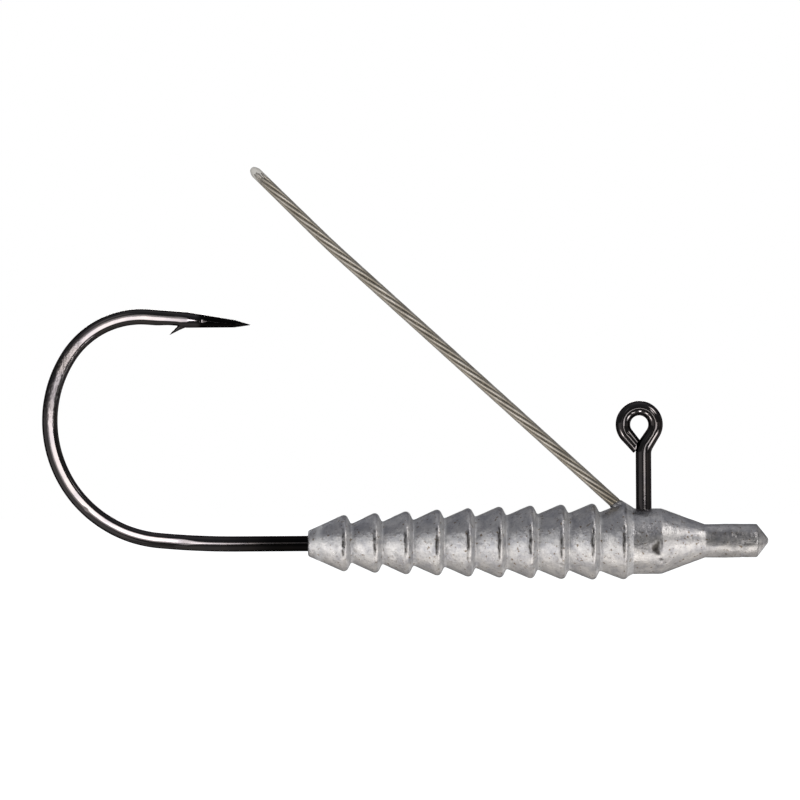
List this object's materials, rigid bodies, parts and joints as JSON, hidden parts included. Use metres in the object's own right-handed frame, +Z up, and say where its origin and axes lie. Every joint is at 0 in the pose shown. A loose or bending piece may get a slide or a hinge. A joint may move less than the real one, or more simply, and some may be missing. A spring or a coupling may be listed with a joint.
{
  "type": "weedless fishing jig",
  "caption": "Ribbed lead jig on a large forged hook, with an upright line-tie eye, a round nose pin and a stiff coated cable that leans back over the point as a weed guard.",
  "frame": {"origin": "middle of the line-tie eye, on the hook's plane", "axes": "+X along the casting toward the nose pin, +Z up away from the casting along the neck, +Y across the hook's plane along the eye's hole"},
  "size_m": [0.069, 0.0072, 0.0396],
  "materials": {
    "black_nickel": "glossy black nickel plating on the forged hook",
    "cast_lead": "bare cast lead, dull silver grey with a mottled skin",
    "clear_nylon": "thin clear nylon coating over the cable",
    "bright_steel": "drawn stainless steel wire"
  },
  "bodies": {
    "jig": {"hook": "black_nickel", "lead_body": "cast_lead", "anchored_coating": "clear_nylon", "anchored_core_wire": "bright_steel", "anchored_wire_1": "bright_steel", "anchored_wire_2": "bright_steel", "anchored_wire_3": "bright_steel", "anchored_wire_4": "bright_steel", "anchored_wire_5": "bright_steel", "anchored_wire_6": "bright_steel"},
    "weed_guard": {"guard_coating": "clear_nylon", "guard_core_wire": "bright_steel", "guard_wire_1": "bright_steel", "guard_wire_2": "bright_steel", "guard_wire_3": "bright_steel", "guard_wire_4": "bright_steel", "guard_wire_5": "bright_steel", "guard_wire_6": "bright_steel"}
  },
  "joints": [
    {"name": "guard_flex", "type": "hinge", "parent": "jig", "child": "weed_guard", "pos_m": [-0.00261, 0, -0.0072], "axis": [0, -1, 0], "range_deg": [0, 14], "stiffness_Nm_per_rad": 0.04}
  ]
}
